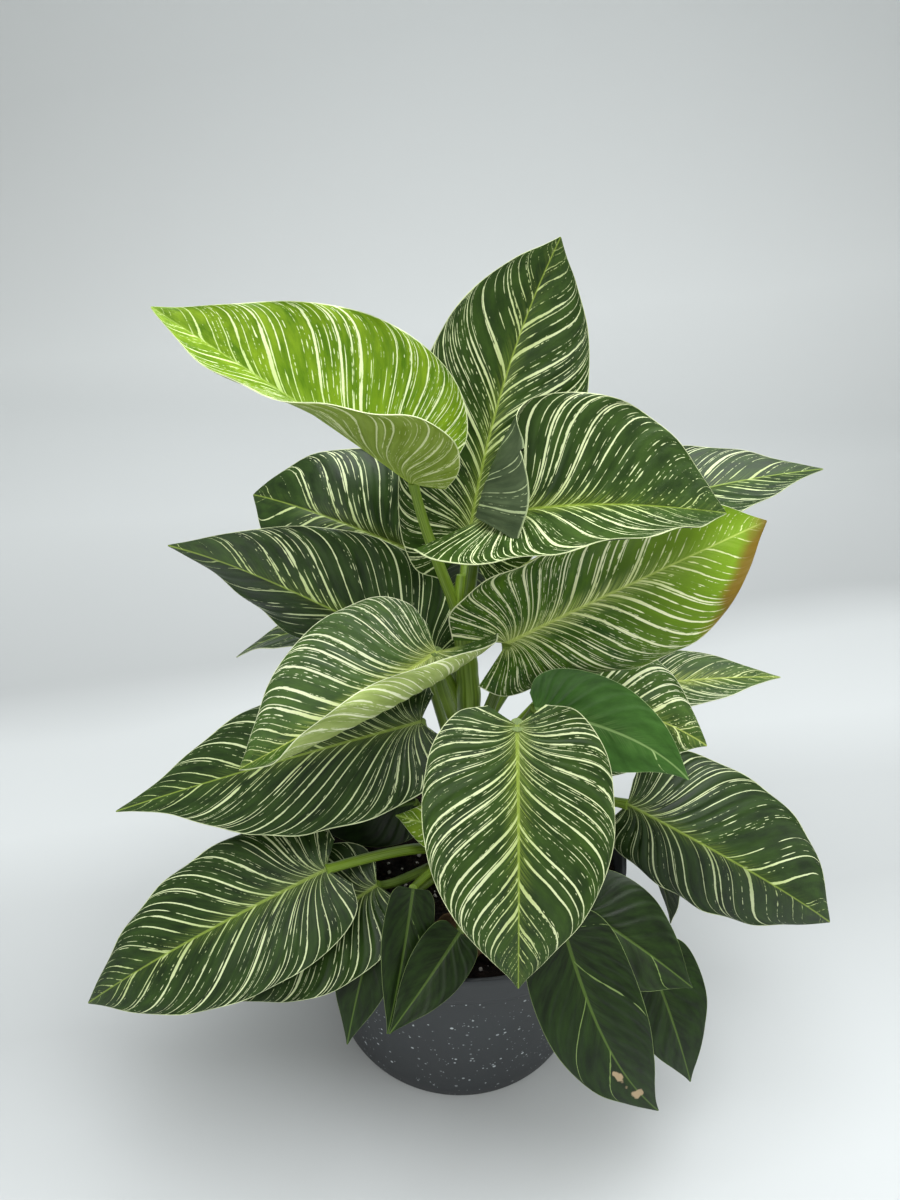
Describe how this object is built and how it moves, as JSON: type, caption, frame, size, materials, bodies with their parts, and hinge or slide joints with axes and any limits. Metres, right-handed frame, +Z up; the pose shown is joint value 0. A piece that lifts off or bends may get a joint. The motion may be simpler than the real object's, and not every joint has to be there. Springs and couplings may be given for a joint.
{
  "type": "potted philodendron",
  "caption": "Philodendron with heart-shaped, cream-striped leaves on one branching stem, in a dark grey plastic nursery pot.",
  "frame": {"origin": "centre of the pot's underside", "axes": "+Z up, +X to the plant's right as seen from its front, +Y from the front to the back"},
  "size_m": [0.362, 0.2066, 0.4143],
  "materials": {
    "pot_plastic": "matte, flecked with pale grains",
    "potting_mix": "rough, moist bark and peat with white grains",
    "stem": "smooth, waxy",
    "striped_leaf": "waxy, with cream stripes along the veins",
    "young_leaf": "waxy lime green, with cream stripes along the veins",
    "plain_leaf": "glossy dark green"
  },
  "bodies": {
    "root": {"leaf_back_pale": "striped_leaf", "leaf_crown_cupped": "striped_leaf", "leaf_crown_upright": "striped_leaf", "leaf_far_left": "striped_leaf", "leaf_front_heart": "striped_leaf", "leaf_hanging_right": "striped_leaf", "leaf_inner_dark": "plain_leaf", "leaf_inner_lime": "young_leaf", "leaf_lime_left": "young_leaf", "leaf_lime_right": "young_leaf", "leaf_long_left": "striped_leaf", "leaf_low_front": "plain_leaf", "leaf_low_inner": "plain_leaf", "leaf_low_left_front": "striped_leaf", "leaf_low_left_hanging": "plain_leaf", "leaf_low_left_second": "striped_leaf", "leaf_low_right": "striped_leaf", "leaf_low_right_back": "plain_leaf", "leaf_low_right_front": "plain_leaf", "leaf_low_right_upper": "plain_leaf", "leaf_mid_back_right": "striped_leaf", "leaf_mid_right": "striped_leaf", "leaf_plain_right": "plain_leaf", "leaf_rolled_left": "striped_leaf", "leaf_upper_back_left": "striped_leaf", "leaf_upper_back_right": "striped_leaf", "leaf_wide_left": "striped_leaf", "pot": "pot_plastic", "soil": "potting_mix", "stems": "stem"}
  },
  "joints": []
}
